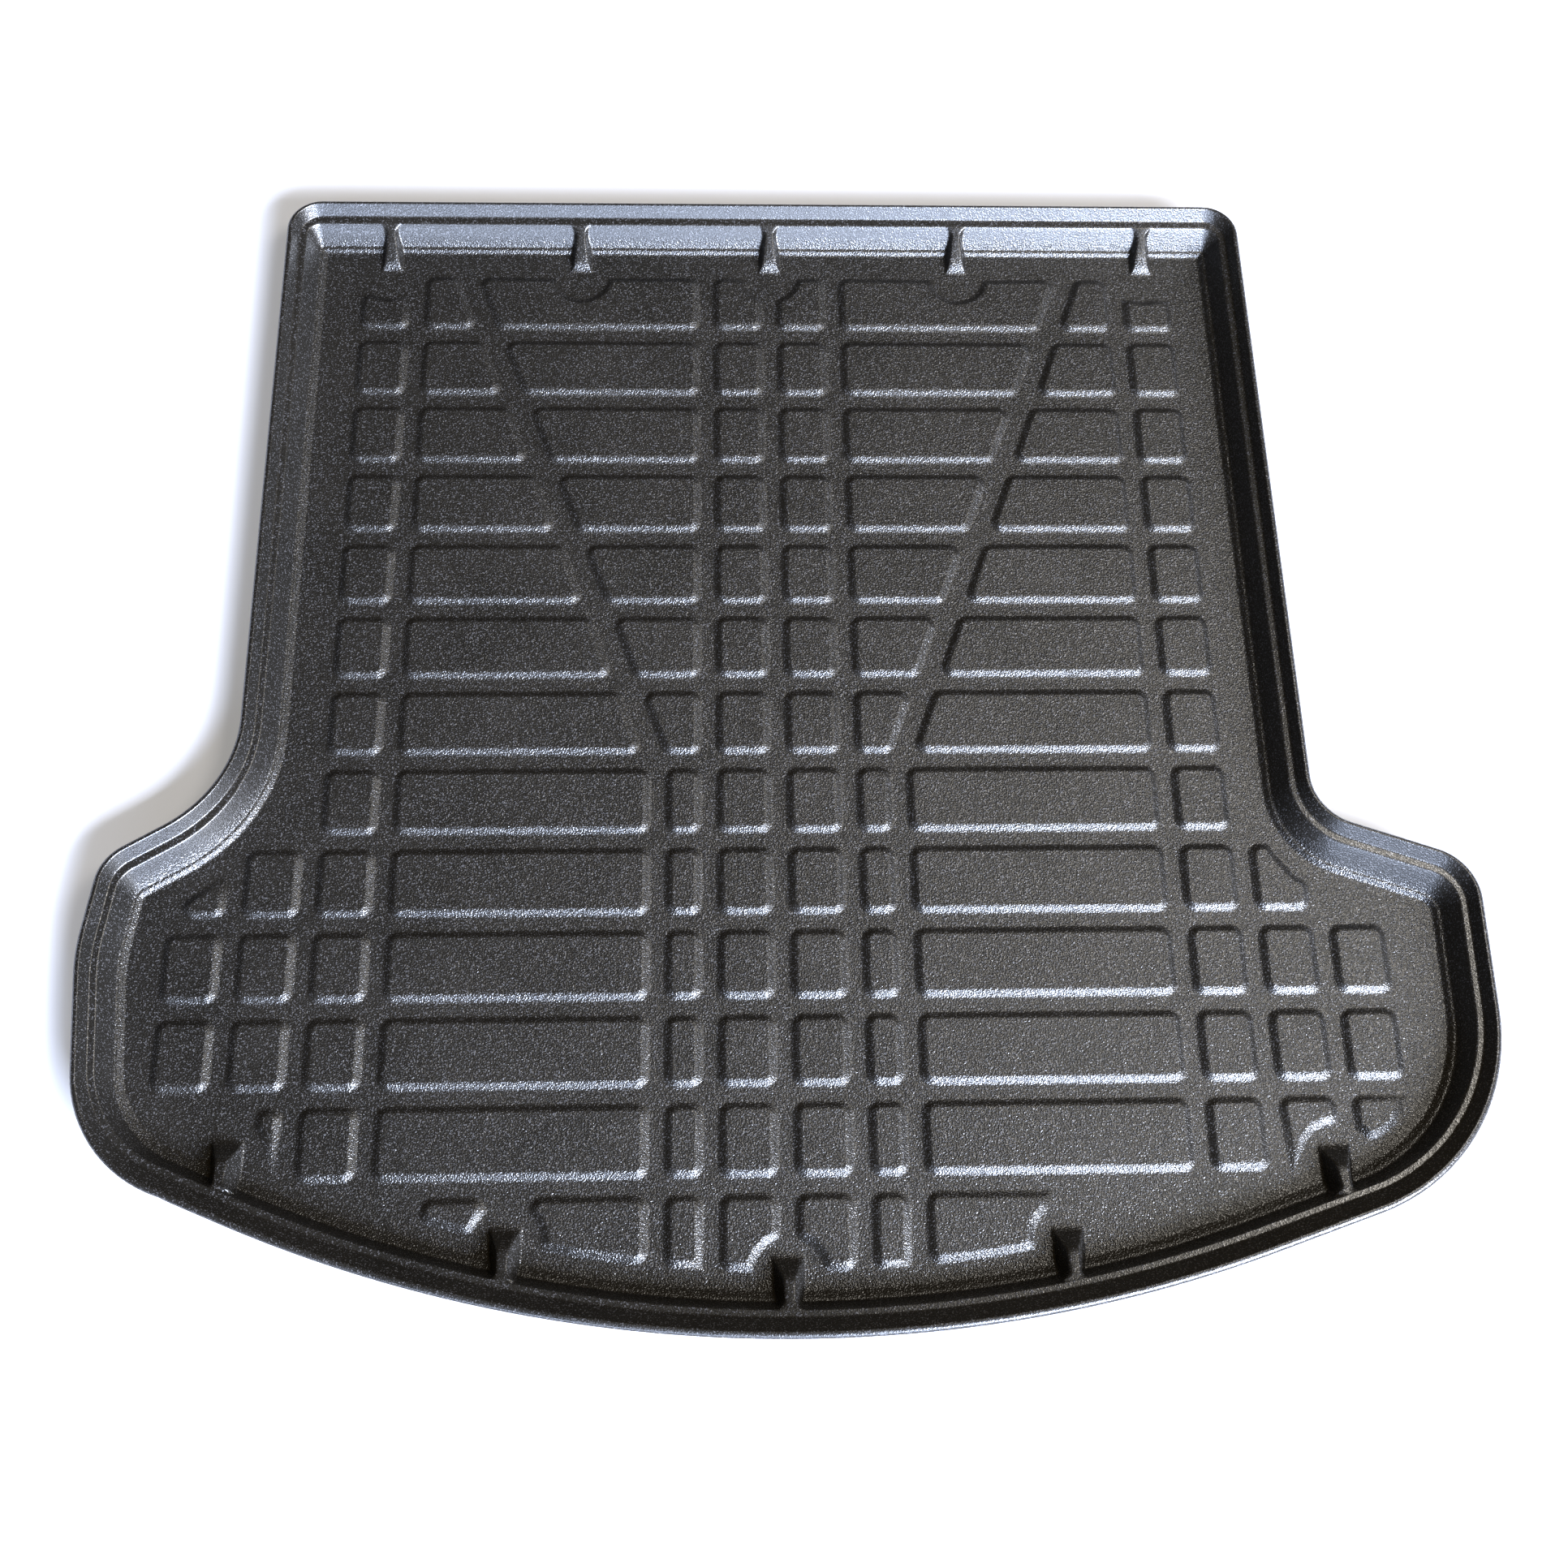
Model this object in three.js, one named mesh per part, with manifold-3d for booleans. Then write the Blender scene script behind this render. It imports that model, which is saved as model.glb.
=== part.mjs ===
// Car boot liner: one sheet of black plastic, vacuum formed into a shallow tray.
// The floor carries a grid of raised anti-slip pads, hollow below. A stepped rim with a ledge
// half way up runs all round, stiffened by gussets along the far edge and the loading edge.
// Millimetres, +Z up, +Y towards the rear seats. The grid is laid out about the liner's middle line.

import * as THREE from 'three';
import { mergeGeometries, mergeVertices } from 'three/addons/utils/BufferGeometryUtils.js';
import Module from 'manifold-3d';

const wasm = await Module();
wasm.setup();

// Sheet
const sheet = 2.5;                // thickness of the formed sheet
const lipHeight = 38;             // top of the lip above the floor

// Outline of the lip, seen from above
const farEdge = 52;               // far edge, towards the seats
const throatLeft = 499;           // straight sides between the wheel arches
const throatRight = 495.5;
const farCornerRadius = 34;
const archEndLeft = -609;         // where the sides turn out behind the arches
const archEndRight = -637.5;
const archRadiusLeft = 123;
const archRadiusRight = 50;
const shoulderLeft = new THREE.Vector2(-612, -676);
const shoulderRight = new THREE.Vector2(640.5, -688);
const shoulderRadiusLeft = 45;
const shoulderRadiusRight = 51;
const sideBowLeft = new THREE.Vector2(-624.5, -764);
const sideBowRadius = 186;
const nearCornerLeft = new THREE.Vector2(-609, -945.5);
const nearCornerRight = new THREE.Vector2(636, -963.5);
const nearRadiusLeft = 125;
const nearRadiusRight = 191;
const nearApex = new THREE.Vector2(-37.5, -1189);
const nearBowRadius = 1259;

// Rim: width of each band from the lip inwards, on the sides, the far edge and the loading edge
const lipWidth = { side: 5, far: 4, near: 5.5 };
const upperWallRun = { side: 5.8, far: 7.8, near: 14 };
const ledgeWidth = { side: 6.5, far: 7.5, near: 6.3 };
const mainWallRun = { side: 11, far: 13.5, near: 8.3 };
const footLedgeWidth = { side: 3, far: 3, near: 3.5 };
const stepRun = { side: 3.5, far: 3.2, near: 6.3 };
const stepHeight = 3.5;
const ledgeHeight = 25;           // inner edge of the ledge above the floor
const ledgeFall = 0.4;            // fall of each ledge towards the floor
const lipDrop = 2.6;              // how far the rounded lip falls to its cut edge
const lipBend = { run: 0.4, drop: 0.25 };   // bend in its rounding, as shares of its width and fall

// Pads
const padHeight = 4;
const padDraft = 4.6;             // width of the slope round a pad
const padCornerRadius = 6;
const channel = 20;               // channel between pads, at half their height
const squarePad = 46;
const narrowPad = 27.7;
const widePad = 232.5;
const padLength = 60;             // along Y, in every row
const firstRow = 20;              // start of the first row from the datum
const splitRows = 7;              // rows crossed by the two slanting channels
const leftOuterPads = [1, 1, 1, 1, 1, 1, 1, 1, 3, 3, 3, 2, 0];
const rightOuterPads = [1, 1, 1, 1, 1, 1, 1, 1, 2, 3, 3, 3, 0];
const slantChannel = 24;
const slantInset = 41.2;          // its middle, in from the wide pads' outer end at the first row
const slantOutset = 4.756;        // and out from the narrow pads' channel at the last split row
const firstOuterLength = 38;      // the first row's outer pads are cut short behind the gussets
// Rows that end in pads with widths of their own; side is 1 right, -1 left
const endPads = [
  { row: 8, side: -1, widths: [33] },
  { row: 11, side: -1, widths: [17] },
  { row: 12, side: -1, widths: [95.5, 50.5] },
  { row: 12, side: 1, widths: [105] },
];
const endPadGap = 43;             // between two such pads, round a gusset
const padMargin = { side: 14, far: 30.5, near: 19 };   // bare floor between rim and pads

// Gussets
const gussetPitchFar = 198;
const gussetPitchNear = 242;
const farGussetMiddle = 1.2;      // place of the middle gusset on the far edge
// The crest falls from the ledge to the foot, with a flank on either side that spreads below it
const farGusset = {
  crestRun: 37.5, footHeight: 5, footRun: 3, crestTop: 8, crestFoot: 16.5, flankTop: 8, flankFoot: 4.5,
};
const nearGusset = {
  crestRun: 30, footHeight: 8, footRun: 16, crestTop: 9, crestFoot: 9, flankTop: 7.5, flankFoot: 8,
};
const toe = 0.1;                  // blunt end of the foot, inside the sheet
const crestSink = 0.2;            // the crest starts just below the ledge
// Bare round patch at each foot: its centre from the foot, and its radius
const outerFarPatch = { dx: 0, dy: -4, radius: 36 };
const innerFarPatch = { dx: 0, dy: -10, radius: 30 };
const farPatches = [outerFarPatch, innerFarPatch, innerFarPatch, innerFarPatch, outerFarPatch];
const nearPatches = [
  { dx: 0, dy: -14, radius: 36 },
  { dx: 1, dy: -10, radius: 33 },
  { dx: 0, dy: -15, radius: 34.5 },
  { dx: -1, dy: -9, radius: 32 },
  { dx: 4, dy: -15, radius: 38 },
];
const patchSides = 20;

const floorTop = sheet;
const overlap = 1;                // how far a joined form reaches into the sheet
const weld = 1e-4;                // points nearer than this are one

const lipCorners = [
  { at: new THREE.Vector2(-throatLeft, farEdge), radius: farCornerRadius, steps: 4 },
  { at: new THREE.Vector2(-throatLeft, archEndLeft), radius: archRadiusLeft, steps: 6 },
  { at: shoulderLeft, radius: shoulderRadiusLeft, steps: 4 },
  { at: sideBowLeft, radius: sideBowRadius, steps: 2 },
  { at: nearCornerLeft, radius: nearRadiusLeft, steps: 6 },
  { at: nearApex, radius: nearBowRadius, steps: 12 },
  { at: nearCornerRight, radius: nearRadiusRight, steps: 7 },
  { at: shoulderRight, radius: shoulderRadiusRight, steps: 4 },
  { at: new THREE.Vector2(throatRight, archEndRight), radius: archRadiusRight, steps: 5 },
  { at: new THREE.Vector2(throatRight, farEdge), radius: farCornerRadius, steps: 4 },
];

// A size that differs between sides, far edge and loading edge, for a side facing along normal
function bySide(size, normal) {
  const far = Math.max(0, normal.y) ** 2;
  const near = Math.max(0, -normal.y) ** 2;
  return size.side * (1 - far - near) + size.far * far + size.near * near;
}

// Points of a counterclockwise polygon with rounded corners, each side moved in by inset(normal)
function roundedOutline(corners, inset) {
  const sides = corners.map((corner, i) => {
    const next = corners[(i + 1) % corners.length];
    const along = next.at.clone().sub(corner.at).normalize();
    const inward = new THREE.Vector2(-along.y, along.x);
    return { along, inward, inset: inset(inward.clone().negate()) };
  });
  const points = [];
  corners.forEach((corner, i) => {
    const a = sides[(i + corners.length - 1) % corners.length];
    const b = sides[i];
    const det = a.inward.cross(b.inward);
    const at = corner.at.clone().add(new THREE.Vector2(
      (a.inset * b.inward.y - b.inset * a.inward.y) / det,
      (b.inset * a.inward.x - a.inset * b.inward.x) / det,
    ));
    const turn = Math.sign(det);
    const mean = (a.inset + b.inset) / 2;
    const radius = Math.max(corner.radius - turn * mean, 1);
    const reach = turn * radius / (1 + a.inward.dot(b.inward));
    const centre = at.clone().addScaledVector(a.inward, reach).addScaledVector(b.inward, reach);
    const start = a.inward.angle();
    const sweep = Math.atan2(det, a.inward.dot(b.inward));
    for (let k = 0; k <= corner.steps; k += 1) {
      const angle = start + sweep * k / corner.steps;
      points.push(new THREE.Vector2(
        centre.x - turn * radius * Math.cos(angle),
        centre.y - turn * radius * Math.sin(angle),
      ));
    }
  });
  return points;
}

// Closed skin through a stack of counterclockwise rings with the same number of points
function loft(rings) {
  const count = rings[0].length;
  const position = rings.flat().flatMap((p) => [p.x, p.y, p.z]);
  const index = [];
  for (let r = 0; r + 1 < rings.length; r += 1) {
    for (let i = 0; i < count; i += 1) {
      const j = (i + 1) % count;
      const [a, b, c, d] = [r * count + i, r * count + j, (r + 1) * count + j, (r + 1) * count + i];
      index.push(a, b, c, a, c, d);
    }
  }
  const flat = (ring) => ring.map((p) => new THREE.Vector2(p.x, p.y));
  for (const [a, b, c] of THREE.ShapeUtils.triangulateShape(flat(rings[0]), [])) {
    index.push(c, b, a);
  }
  const top = (rings.length - 1) * count;
  for (const [a, b, c] of THREE.ShapeUtils.triangulateShape(flat(rings.at(-1)), [])) {
    index.push(top + a, top + b, top + c);
  }
  const geometry = new THREE.BufferGeometry();
  geometry.setAttribute('position', new THREE.Float32BufferAttribute(position, 3));
  geometry.setIndex(index);
  return geometry;
}

function solid(geometry) {
  const bare = geometry.clone();
  bare.deleteAttribute('normal');
  bare.deleteAttribute('uv');
  const merged = mergeVertices(bare, weld);
  return new wasm.Manifold(new wasm.Mesh({
    numProp: 3,
    vertProperties: new Float32Array(merged.attributes.position.array),
    triVerts: new Uint32Array(merged.index.array),
  }));
}

// Upper face of the rim, from the lip's cut edge to the floor: distance in from the edge, height
function rimProfile(place) {
  const lip = floorTop + lipHeight;
  const ledge = floorTop + ledgeHeight;
  const runs = [lipWidth, upperWallRun, ledgeWidth, mainWallRun, footLedgeWidth, stepRun];
  const at = [0];
  for (const run of runs) at.push(at.at(-1) + run[place]);
  return [
    new THREE.Vector2(0, lip - lipDrop),
    new THREE.Vector2(lipBend.run * at[1], lip - lipBend.drop * lipDrop),
    new THREE.Vector2(at[1], lip),
    new THREE.Vector2(at[2], ledge + ledgeFall),
    new THREE.Vector2(at[3], ledge),
    new THREE.Vector2(at[4], floorTop + stepHeight + ledgeFall),
    new THREE.Vector2(at[5], floorTop + stepHeight),
    new THREE.Vector2(at[6], floorTop),
  ];
}

// The same profile moved down square to the sheet by depth, bend by bend
function offsetProfile(profile, depth) {
  const line = [...profile, profile.at(-1).clone().add(new THREE.Vector2(1, 0))];
  const below = (i) => {
    const along = line[i + 1].clone().sub(line[i]).normalize();
    return new THREE.Vector2(along.y, -along.x);
  };
  const moved = [];
  for (let i = 2; i < profile.length; i += 1) {
    const a = below(i - 1);
    const b = below(i);
    const bend = a.clone().add(b).divideScalar(1 + a.dot(b));
    moved.push(line[i].clone().addScaledVector(bend, depth));
  }
  return moved;
}

// Rings of the rim for a profile given on the sides, the far edge and the loading edge
function rimRings(profiles) {
  return profiles.side.map((unused, i) => {
    const inset = { side: profiles.side[i].x, far: profiles.far[i].x, near: profiles.near[i].x };
    return roundedOutline(lipCorners, (normal) => bySide(inset, normal))
      .map((p) => new THREE.Vector3(p.x, p.y, profiles.side[i].y));
  });
}

const places = ['side', 'far', 'near'];
const upper = Object.fromEntries(places.map((place) => [place, rimProfile(place)]));
const lower = Object.fromEntries(places.map((place) => {
  const cutEdge = new THREE.Vector2(0, upper[place][0].y - sheet);
  return [place, [cutEdge, ...offsetProfile(upper[place], sheet)]];
}));
const middle = Object.fromEntries(places.map((place) => (
  [place, offsetProfile(upper[place], sheet / 2)]
)));

function tray() {
  const upperRings = rimRings(upper);
  const lowerRings = rimRings(lower);
  return solid(loft([...lowerRings.reverse(), ...upperRings]));
}

// Everything above the middle of the sheet: what is joined to it inside the tray stays in here
function trayInside() {
  const rings = rimRings(middle).reverse();
  const lid = rings.at(-1).map((p) => new THREE.Vector3(p.x, p.y, p.z + lipHeight));
  return solid(loft([...rings, lid]));
}

// One drafted block over an outline given at half its height, its foot at the given height
function draftedBlock(corners, foot, tuck = 0) {
  const ring = (z, inset) => (
    roundedOutline(corners, () => tuck + inset).map((p) => new THREE.Vector3(p.x, p.y, z))
  );
  const half = padDraft / 2;
  return loft([ring(foot - overlap, -half), ring(foot, -half), ring(foot + padHeight, half)]);
}

function cell(points) {
  return points.map(([x, y]) => (
    { at: new THREE.Vector2(x, y), radius: padCornerRadius, steps: 1 }
  ));
}

// The pad outlines of one side of one row, from the middle outwards; side is 1 right, -1 left
function rowCells(row, side) {
  const top = -firstRow - row * (padLength + channel);
  const bottom = top - padLength;
  const block = (x0, x1, y1 = top) => [[x0, bottom], [x1, bottom], [x1, y1], [x0, y1]];
  const cells = [];
  let x = channel / 2;
  cells.push(block(x, x + squarePad));
  x += squarePad + channel;
  const wideStart = x + narrowPad + channel;
  const wideEnd = wideStart + widePad;
  const slantTop = wideEnd - slantInset;
  const slantFoot = wideStart - channel / 2 + slantOutset;
  const slope = (slantTop - slantFoot) / (splitRows * (padLength + channel) - channel);
  const slantAt = (y) => slantTop + (y + firstRow) * slope;
  const slantHalf = slantChannel / 2 * Math.hypot(1, slope);
  if (row < splitRows) {
    const [low, high] = [slantAt(bottom), slantAt(top)];
    cells.push([[x, bottom], [low - slantHalf, bottom], [high - slantHalf, top], [x, top]]);
    cells.push([[low + slantHalf, bottom], [wideEnd, bottom], [wideEnd, top], [high + slantHalf, top]]);
  } else {
    cells.push(block(x, x + narrowPad));
    cells.push(block(wideStart, wideEnd));
  }
  x = wideEnd + channel;
  const outer = (side > 0 ? rightOuterPads : leftOuterPads)[row];
  const outerTop = row === 0 ? bottom + firstOuterLength : top;
  for (let i = 0; i < outer; i += 1) {
    cells.push(block(x, x + squarePad, outerTop));
    x += squarePad + channel;
  }
  const end = endPads.find((pads) => pads.row === row && pads.side === side);
  if (end) {
    x = cells.pop()[0][0];
    for (const width of end.widths) {
      cells.push(block(x, x + width));
      x += width + endPadGap;
    }
  }
  if (side > 0) return cells;
  return cells.map((points) => points.map(([px, py]) => [-px, py]).reverse());
}

// Distance in from the lip's edge at which a rim line lies, for each kind of side
function insetTo(index, extra = { side: 0, far: 0, near: 0 }) {
  return Object.fromEntries(places.map((place) => [place, upper[place][index].x + extra[place]]));
}

// Where a rim line crosses a given x, on the far or the near edge
function rimCrossing(inset, x, edge) {
  const ring = roundedOutline(lipCorners, (normal) => bySide(inset, normal));
  const found = [];
  ring.forEach((p, i) => {
    const q = ring[(i + 1) % ring.length];
    if ((p.x - x) * (q.x - x) > 0 || p.x === q.x) return;
    found.push(p.y + (q.y - p.y) * (x - p.x) / (q.x - p.x));
  });
  return edge === 'far' ? Math.max(...found) : Math.min(...found);
}

const ledgeEdge = insetTo(4);
const gussets = [
  ...farPatches.map((patch, i) => (
    { x: farGussetMiddle + (i - 2) * gussetPitchFar, edge: 'far', shape: farGusset, patch }
  )),
  ...nearPatches.map((patch, i) => (
    { x: (i - 2) * gussetPitchNear, edge: 'near', shape: nearGusset, patch }
  )),
].map((gusset) => {
  const inward = gusset.edge === 'far' ? -1 : 1;
  const ledgeY = rimCrossing(ledgeEdge, gusset.x, gusset.edge);
  const footY = ledgeY + inward * (gusset.shape.crestRun + gusset.shape.footRun);
  return { ...gusset, inward, ledgeY, footY };
});

// The raised pads, or with a tuck the hollows below them, as one set of drafted blocks
function pads(foot, tuck = 0) {
  const blocks = [];
  for (let row = 0; row < leftOuterPads.length; row += 1) {
    for (const side of [-1, 1]) {
      for (const points of rowCells(row, side)) blocks.push(draftedBlock(cell(points), foot, tuck));
    }
  }
  const ring = (z) => {
    const draft = tuck + padDraft * ((z - foot) / padHeight - 0.5);
    const inset = insetTo(7, padMargin);
    return roundedOutline(lipCorners, (normal) => bySide(inset, normal) + draft)
      .map((p) => new THREE.Vector3(p.x, p.y, z));
  };
  const field = loft([ring(foot - 2 * overlap), ring(foot + 2 * padHeight)]);
  let result = solid(mergeGeometries(blocks)).intersect(solid(field));
  for (const { x, footY, patch } of gussets) {
    const low = foot - 2 * overlap;
    const high = foot + 2 * padHeight;
    const radiusAt = (z) => patch.radius + tuck + padDraft * ((z - foot) / padHeight - 0.5);
    const cone = new THREE.CylinderGeometry(radiusAt(high), radiusAt(low), high - low, patchSides);
    cone.rotateX(Math.PI / 2);
    cone.translate(x + patch.dx, footY + patch.dy, (low + high) / 2);
    result = result.subtract(solid(cone));
  }
  return result;
}

// A gusset's body, its skin drawn in by depth and its back reaching under the ledge
function gussetBody({ x, inward, ledgeY, shape }, depth, below) {
  const ledgeZ = floorTop + ledgeHeight - crestSink;
  const footZ = floorTop + shape.footHeight;
  const fall = Math.atan2(ledgeZ - footZ, shape.crestRun);
  const footFall = Math.atan2(shape.footHeight, shape.footRun);
  const drop = depth / Math.cos(fall);
  const back = depth * Math.tan((footFall - fall) / 2);
  const crestEnd = shape.crestRun - depth * Math.sin(fall) - back * Math.cos(fall);
  const crestEndZ = ledgeZ - drop - Math.tan(fall) * crestEnd;
  const footEnd = crestEnd + (crestEndZ - below) / Math.tan(footFall);
  const crest = (width, spread, height) => (
    width / 2 - depth * Math.tan(Math.atan2(height, spread) / 2)
  );
  const top = crest(shape.crestTop, shape.flankTop, ledgeHeight);
  const foot = crest(shape.crestFoot, shape.flankFoot, shape.footHeight);
  const station = (run, halfCrest, z, halfBase) => [
    [-halfBase, run, below], [halfBase, run, below], [halfCrest, run, z], [-halfCrest, run, z],
  ];
  const sections = [
    station(-ledgeWidth.side, top, ledgeZ - drop, top + shape.flankTop),
    station(0, top, ledgeZ - drop, top + shape.flankTop),
    station(crestEnd, foot, crestEndZ, foot + shape.flankFoot),
    station(footEnd, foot + shape.flankFoot - toe, below + toe, foot + shape.flankFoot),
  ];
  const place = ([u, v, z]) => new THREE.Vector3(x + inward * -u, ledgeY + inward * v, z);
  const rings = sections.map((section) => section.map(place));
  const position = rings.flat().flatMap((p) => [p.x, p.y, p.z]);
  const index = [];
  for (let r = 0; r + 1 < rings.length; r += 1) {
    for (let i = 0; i < 4; i += 1) {
      const j = (i + 1) % 4;
      const [a, b, c, d] = [r * 4 + i, r * 4 + j, (r + 1) * 4 + j, (r + 1) * 4 + i];
      index.push(a, b, c, a, c, d);
    }
  }
  const last = (rings.length - 1) * 4;
  index.push(0, 2, 1, 0, 3, 2);
  index.push(last, last + 1, last + 2, last, last + 2, last + 3);
  const geometry = new THREE.BufferGeometry();
  geometry.setAttribute('position', new THREE.Float32BufferAttribute(position, 3));
  geometry.setIndex(index);
  return solid(geometry);
}

const tuck = sheet * Math.tan(Math.atan2(padHeight, padDraft) / 2);
const inside = trayInside();
let liner = tray().add(pads(floorTop));
for (const gusset of gussets) liner = liner.add(gussetBody(gusset, 0, overlap).intersect(inside));
liner = liner.subtract(pads(0, tuck));
for (const gusset of gussets) liner = liner.subtract(gussetBody(gusset, sheet, -overlap));

const { vertProperties, triVerts } = liner.getMesh();
const geometry = new THREE.BufferGeometry();
geometry.setAttribute('position', new THREE.BufferAttribute(vertProperties, 3));
geometry.setIndex(new THREE.BufferAttribute(triVerts, 1));

const blackPlastic = new THREE.MeshStandardMaterial({ color: 0x1c1c1d, roughness: 0.55, metalness: 0 });
const bootLiner = new THREE.Mesh(geometry, blackPlastic);
bootLiner.name = 'boot_liner';

// The origin is under the middle of the liner's outline, on the surface that it lies on
const footprint = new THREE.Box2().setFromPoints(roundedOutline(lipCorners, () => 0));
const centre = footprint.getCenter(new THREE.Vector2());
bootLiner.position.set(-centre.x, -centre.y, 0);

const group = new THREE.Group();
group.add(bootLiner);
export default group;
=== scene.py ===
# Car boot liner: one vacuum formed sheet of black plastic, on a pale studio floor.
# Sizes are millimetres where a note says nothing else, and the mesh is made in metres at the end.

import math

import bmesh
import bpy
from mathutils import Matrix, Vector


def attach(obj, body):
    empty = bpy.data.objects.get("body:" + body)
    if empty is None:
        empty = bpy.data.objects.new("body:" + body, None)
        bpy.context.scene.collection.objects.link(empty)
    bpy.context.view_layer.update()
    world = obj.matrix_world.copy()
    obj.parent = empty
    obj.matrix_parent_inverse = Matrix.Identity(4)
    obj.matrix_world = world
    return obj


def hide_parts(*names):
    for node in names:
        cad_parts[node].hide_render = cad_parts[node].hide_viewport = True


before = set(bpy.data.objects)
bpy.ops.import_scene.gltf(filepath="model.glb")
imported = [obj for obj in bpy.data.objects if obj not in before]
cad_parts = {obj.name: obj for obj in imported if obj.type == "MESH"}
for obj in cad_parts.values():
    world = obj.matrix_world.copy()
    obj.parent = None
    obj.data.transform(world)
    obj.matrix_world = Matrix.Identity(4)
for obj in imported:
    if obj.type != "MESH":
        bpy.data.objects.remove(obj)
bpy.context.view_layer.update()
millimetre = 0.001

rim = {
    "sheet": 2.5,
    "centre": (8.297, -525.037),      # middle of the liner, from the middle of the pad grid's far edge
    "lipHeight": 38.0,
    "lipDrop": 2.6,
    "lipBend": (0.4, 0.25),           # bend in the lip's rounding, as shares of its width and its drop
    "ledgeHeight": 25.0,
    "ledgeFall": 0.4,
    "stepHeight": 3.5,
    "bendReach": 1.3,                 # how far each bend is rounded along the faces beside it
    "bendShare": 0.35,                # and at most this share of such a face
    "floorBeside": 8.0,               # floor beyond the step, against which its foot is rounded
    "stripWidth": 3.2,                # plain floor beside the rim
    "stripRings": 9,
    "nearEnd": 520.0,                 # half the stretch of the near edge that has the gussets
    "farEnd": 425.0,
    "farEndColumns": 2,               # from a far corner to that stretch
    "wallRings": 5,
    # widths from the cut edge inwards: lip, upper wall, ledge, main wall, foot ledge, step
    "side": (5.0, 5.8, 6.5, 11.0, 3.0, 3.5),
    "far": (4.0, 7.8, 7.5, 13.5, 3.0, 3.2),
    "near": (5.5, 14.0, 6.3, 8.3, 3.5, 6.3),
}

# Corners of the lip seen from above, counterclockwise from the far left: place, radius, columns
# round the corner, and columns along the side after it, or none where they follow the gussets
corners = [
    ((-499.0, 52.0), 34.0, 10, 12),
    ((-499.0, -609.0), 123.0, 18, 3),
    ((-612.0, -676.0), 45.0, 10, 3),
    ((-624.5, -764.0), 186.0, 6, 4),
    ((-609.0, -945.5), 125.0, 16, None),
    ((-37.5, -1189.0), 1259.0, None, None),
    ((636.0, -963.5), 191.0, 18, 5),
    ((640.5, -688.0), 51.0, 12, 4),
    ((495.5, -637.5), 50.0, 12, 12),
    ((495.5, 52.0), 34.0, 10, None),
]


# The larger of two values, with the kink where they are equal rounded off
def smoothMax(a, b, blend):
    near = max(blend - abs(a - b), 0.0) / blend
    return max(a, b) + near * near * blend / 4


def mix(a, b, share):
    return a + (b - a) * share


# Climbs from 0 to 1 with level ends
def smoothStep(share):
    share = min(max(share, 0.0), 1.0)
    return share * share * (3 - 2 * share)


# A width that differs between sides, far edge and near edge, for a side facing along normal
def bySide(widths, normal):
    far = max(0.0, normal.y) ** 2
    near = max(0.0, -normal.y) ** 2
    return widths["side"] * (1 - far - near) + widths["far"] * far + widths["near"] * near


# Arcs of the lip's outline moved in by a width: centre, radius, turn, first angle, sweep
def cornerArcs(widths):
    places = [Vector(corner[0]) for corner in corners]
    sides = []
    for i, place in enumerate(places):
        along = (places[(i + 1) % len(places)] - place).normalized()
        inward = Vector((-along.y, along.x))
        sides.append((inward, bySide(widths, -inward)))
    arcs = []
    for i, place in enumerate(places):
        (inA, a), (inB, b) = sides[i - 1], sides[i]
        det = inA.cross(inB)
        point = place + Vector((a * inB.y - b * inA.y, b * inA.x - a * inB.x)) / det
        turn = math.copysign(1, det)
        radius = max(corners[i][1] - turn * (a + b) / 2, 1)
        centre = point + (inA + inB) * (turn * radius / (1 + inA.dot(inB)))
        arcs.append((centre, radius, turn, math.atan2(inA.y, inA.x), math.atan2(det, inA.dot(inB))))
    return arcs


# The point at a share of an arc, from its start
def onArc(arc, share):
    centre, radius, turn, start, sweep = arc
    angle = start + sweep * share
    return centre - Vector((math.cos(angle), math.sin(angle))) * (turn * radius)


# Where the near edge crosses x: on an arc, or on the straight between two of them
def nearCrossing(arcs, x):
    for i in (4, 5, 6):
        start, end = onArc(arcs[i], 0), onArc(arcs[i], 1)
        if start.x <= x <= end.x:
            centre, radius = arcs[i][0], arcs[i][1]
            return centre.y - math.sqrt(radius ** 2 - (x - centre.x) ** 2)
        if x < start.x:
            before = onArc(arcs[i - 1], 1)
            return mix(before.y, start.y, (x - before.x) / (start.x - before.x))
    return onArc(arcs[6], 1).y


# Share of an arc at which it crosses x
def shareAt(arc, x):
    centre, radius, _, start, sweep = arc
    return (math.asin((x - centre.x) / radius) + math.pi / 2 - start) / sweep


# The straight far edge
def farLine(arcs):
    return onArc(arcs[0], 0).y


# Where a gusset's edge of the liner crosses x
def crossing(shape, arcs, x):
    return farLine(arcs) if shape["edge"] > 0 else nearCrossing(arcs, x)


farGusset = {
    "places": [-394.8, -196.8, 1.2, 199.2, 397.2],
    "edge": 1,             # 1 for the far edge, -1 for the near one
    "between": 5,          # columns between two gussets
    "zone": 25.0,          # half the stretch of the rim whose columns follow the gusset
    "crestRun": 37.5,      # from the ledge in to where the crest drops to its foot
    "footHeight": 5.0,     # of the crest there
    "footRun": 3.4,
    "crestTop": 4.0,       # half widths of the crest
    "crestFoot": 7.8,
    "waist": 1.8,          # how late the crest widens towards its foot
    "flare": 5.5,          # how much it spreads where it leaves the ledge
    "flareRun": 9.0,
    "flankTop": 8.0,       # widths of the flanks at the ledge and at the foot
    "flankFoot": 2.8,
}

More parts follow.
